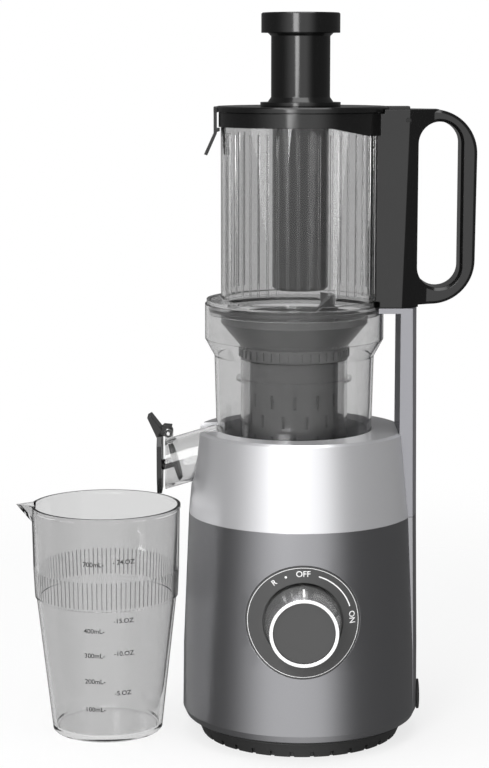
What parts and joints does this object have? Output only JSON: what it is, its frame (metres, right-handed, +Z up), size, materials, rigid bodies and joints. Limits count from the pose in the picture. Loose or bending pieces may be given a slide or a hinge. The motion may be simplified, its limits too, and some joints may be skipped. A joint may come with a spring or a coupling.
{
  "type": "cold press juicer",
  "caption": "Upright slow juicer: geared base with a dial, tower, clear bowl with capped spout, strainer and auger, ribbed hopper with handle, latched lid and pusher, and its cup",
  "frame": {"origin": "on the base's upright axis, at the surface the foot ring stands on", "axes": "+Z up, -Y the front with the dial, +X towards the tower and the handle, -X towards the spout and the cup"},
  "size_m": [0.3192, 0.2046, 0.5025],
  "materials": {
    "dark_shell": "satin metallic",
    "silver_shell": "satin metallic",
    "black_rubber": "matt",
    "base_black": "matt",
    "dial_dark": "matt",
    "board_green": "matt",
    "case_alloy": "cast",
    "motor_steel": "plain",
    "shaft_steel": "ground",
    "gear_nylon": "moulded",
    "seal_rubber": "matt",
    "chrome_trim": "bright",
    "clear_plastic": "clear",
    "grey_plastic": "satin",
    "black_plastic": "glossy"
  },
  "bodies": {
    "base": {"lower_housing": "dark_shell", "upper_housing": "silver_shell", "tower_housing": "silver_shell", "tower_lower_cover": "dark_shell", "cord_gland": "black_rubber", "base_plate": "base_black", "rubber_feet": "black_rubber", "dial_plate": "dial_dark", "rotary_switch": "base_black", "control_board": "board_green", "reed_sensor": "base_black", "gearbox_case": "case_alloy", "gearbox_cover": "case_alloy", "motor_can": "motor_steel", "shaft_bush": "gear_nylon", "shaft_seal": "seal_rubber"},
    "motor_shaft": {"motor_rotor": "motor_steel", "motor_pinion": "shaft_steel", "motor_fan": "base_black"},
    "middle_shaft": {"countershaft": "shaft_steel", "first_gear": "gear_nylon", "second_pinion": "shaft_steel"},
    "output_shaft": {"drive_shaft": "shaft_steel", "output_gear": "gear_nylon"},
    "knob": {"knob_trim": "chrome_trim", "knob_core": "dial_dark", "knob_shaft": "shaft_steel"},
    "bowl_set": {"bowl": "clear_plastic", "bowl_seal": "seal_rubber", "spout_hinge_pin": "shaft_steel", "strainer": "grey_plastic", "strainer_sleeve": "clear_plastic", "pulp_plug": "seal_rubber"},
    "cap": {"spout_cap": "black_plastic", "spout_plug": "seal_rubber"},
    "screw": {"auger": "grey_plastic", "auger_socket": "shaft_steel"},
    "hopper_set": {"hopper": "clear_plastic", "hopper_seal": "seal_rubber", "hopper_collar": "black_plastic", "handle": "black_plastic", "handle_magnet": "motor_steel", "lid_hinge_pin": "shaft_steel"},
    "lid_set": {"lid": "black_plastic", "latch_pin": "shaft_steel"},
    "latch_set": {"latch": "black_plastic"},
    "pusher_set": {"pusher": "black_plastic", "pusher_cap": "black_plastic"},
    "cup": {"juice_cup": "clear_plastic"}
  },
  "joints": [
    {"name": "countershaft_spin", "type": "hinge", "parent": "base", "child": "middle_shaft", "pos_m": [-0.0048, 0.036, 0.14], "axis": [0, 0, 1], "continuous": true},
    {"name": "motor_spin", "type": "hinge", "parent": "base", "child": "motor_shaft", "pos_m": [0.01726, 0.01749, 0.12], "axis": [0, 0, 1], "continuous": true},
    {"name": "drive_spin", "type": "hinge", "parent": "base", "child": "output_shaft", "pos_m": [-0.0048, 0, 0.14], "axis": [0, 0, 1], "continuous": true},
    {"name": "knob_turn", "type": "hinge", "parent": "base", "child": "knob", "pos_m": [0, -0.09, 0.0975], "axis": [0, 1, 0], "range_deg": [-37, 83]},
    {"name": "bowl_lift", "type": "slide", "parent": "base", "child": "bowl_set", "axis": [0, 0, 1], "range_m": [0, 0.15]},
    {"name": "auger_spin", "type": "hinge", "parent": "bowl_set", "child": "screw", "pos_m": [-0.0048, 0, 0.24], "axis": [0, 0, 1], "continuous": true},
    {"name": "spout_cap_open", "type": "hinge", "parent": "bowl_set", "child": "cap", "pos_m": [-0.0924, 0, 0.21344], "axis": [0, 1, 0], "range_deg": [0, 100]},
    {"name": "hopper_lift", "type": "slide", "parent": "bowl_set", "child": "hopper_set", "axis": [0, 0, 1], "range_m": [0, 0.15]},
    {"name": "lid_open", "type": "hinge", "parent": "hopper_set", "child": "lid_set", "pos_m": [0.0713, 0, 0.4305], "axis": [0, 1, 0], "range_deg": [0, 70]},
    {"name": "latch_open", "type": "hinge", "parent": "lid_set", "child": "latch_set", "pos_m": [-0.0584, 0, 0.4373], "axis": [0, 1, 0], "range_deg": [0, 35]},
    {"name": "pusher_slide", "type": "slide", "parent": "lid_set", "child": "pusher_set", "axis": [0, 0, 1], "range_m": [0, 0.11]},
    {"name": "cup_slide", "type": "slide", "parent": "base", "child": "cup", "axis": [-1, 0, 0], "range_m": [0, 0.15]}
  ],
  "couplings": [
    {"joint": "motor_spin", "follows": "countershaft_spin", "ratio": -5},
    {"joint": "drive_spin", "follows": "countershaft_spin", "ratio": -0.2},
    {"joint": "auger_spin", "follows": "countershaft_spin", "ratio": -0.2},
    {"joint": "pusher_slide", "follows": "lid_open", "m_per_rad": 0.09}
  ]
}
